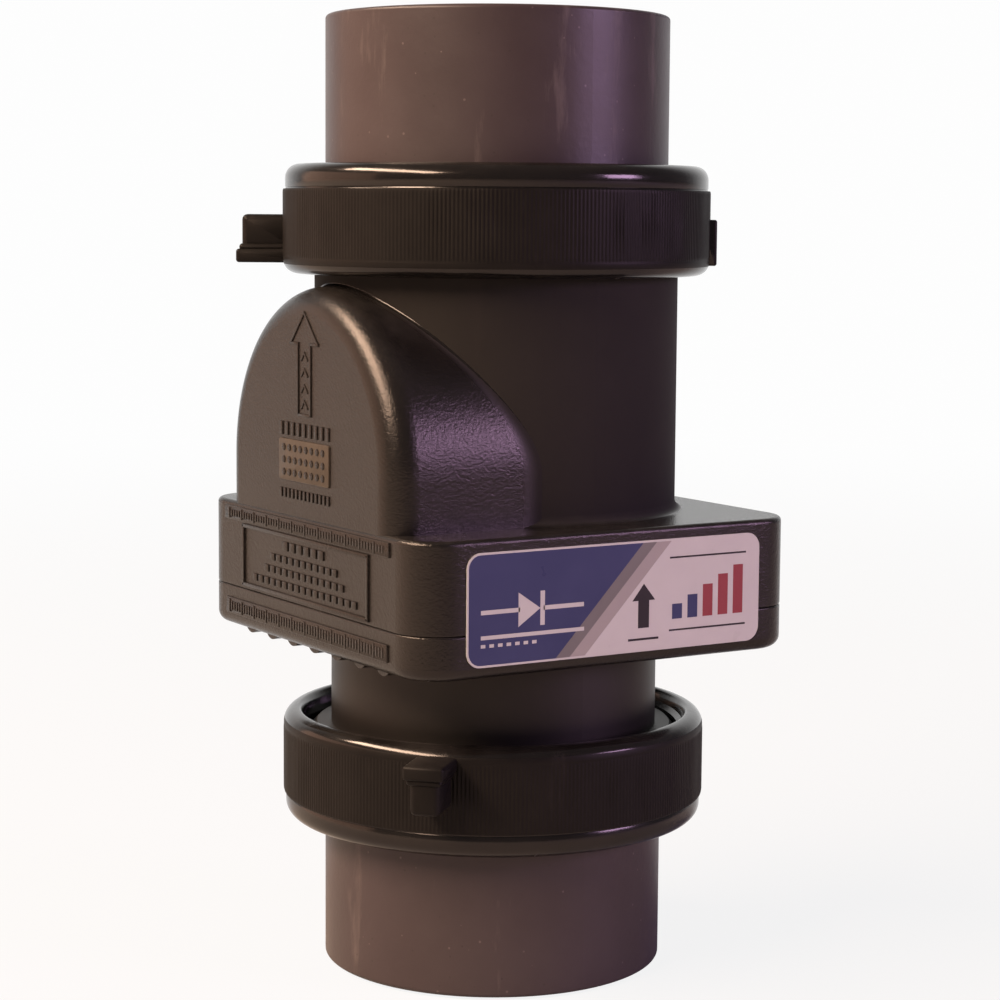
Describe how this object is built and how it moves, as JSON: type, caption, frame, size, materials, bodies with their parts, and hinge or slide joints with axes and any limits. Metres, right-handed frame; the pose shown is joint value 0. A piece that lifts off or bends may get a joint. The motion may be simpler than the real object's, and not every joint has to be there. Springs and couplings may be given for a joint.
{
  "type": "inline swing check valve",
  "caption": "Upright inline swing check valve: square-flanged moulded body with an arched flapper chamber, union nuts and pipe sockets at both ends.",
  "frame": {"origin": "centre of the inlet socket's mouth, on the flow axis", "axes": "+Z along the flow, up from inlet to outlet; -Y towards the arched flapper chamber; +X towards the labelled side"},
  "size_m": [0.0933, 0.0909, 0.1954],
  "materials": {
    "body_black": "moulded, fine grain, satin",
    "nut_black": "moulded, semi-gloss",
    "tailpiece_grey": "moulded, satin",
    "seal_rubber": "matte",
    "stainless_steel": "plain turned",
    "bush_acetal": "natural",
    "label_film": "printed film"
  },
  "bodies": {
    "valve_body": {"upper_body": "body_black", "lower_body": "body_black", "outlet_o_ring": "seal_rubber", "inlet_o_ring": "seal_rubber", "hinge_pin": "stainless_steel", "side_label": "label_film"},
    "flapper": {"flapper_carrier": "body_black", "flapper_seal": "seal_rubber", "seal_retainer": "stainless_steel", "flapper_screw": "stainless_steel", "flapper_washer": "stainless_steel", "flapper_locknut": "stainless_steel", "hinge_bush_left": "bush_acetal", "hinge_bush_right": "bush_acetal"},
    "outlet_end": {"outlet_tailpiece": "tailpiece_grey"},
    "outlet_nut": {"outlet_union_nut": "nut_black"},
    "inlet_end": {"inlet_tailpiece": "tailpiece_grey"},
    "inlet_nut": {"inlet_union_nut": "nut_black"}
  },
  "joints": [
    {"name": "flapper_swing", "type": "hinge", "parent": "valve_body", "child": "flapper", "pos_m": [0, -0.0335, 0.0828], "axis": [1, 0, 0], "range_deg": [0, 70]},
    {"name": "outlet_tailpiece_slide", "type": "slide", "parent": "valve_body", "child": "outlet_end", "axis": [0, 0, 1], "range_m": [0, 0.0151]},
    {"name": "outlet_nut_turn", "type": "hinge", "parent": "outlet_end", "child": "outlet_nut", "pos_m": [0, 0, 0.15538], "axis": [0, 0, 1], "range_deg": [0, 1080]},
    {"name": "inlet_tailpiece_slide", "type": "slide", "parent": "valve_body", "child": "inlet_end", "axis": [0, 0, -1], "range_m": [0, 0.0151]},
    {"name": "inlet_nut_turn", "type": "hinge", "parent": "inlet_end", "child": "inlet_nut", "pos_m": [0, 0, 0.04], "axis": [0, 0, -1], "range_deg": [0, 1080]}
  ],
  "couplings": [
    {"joint": "outlet_tailpiece_slide", "follows": "outlet_nut_turn", "m_per_rad": 0.00079577},
    {"joint": "inlet_tailpiece_slide", "follows": "inlet_nut_turn", "m_per_rad": 0.00079577}
  ]
}
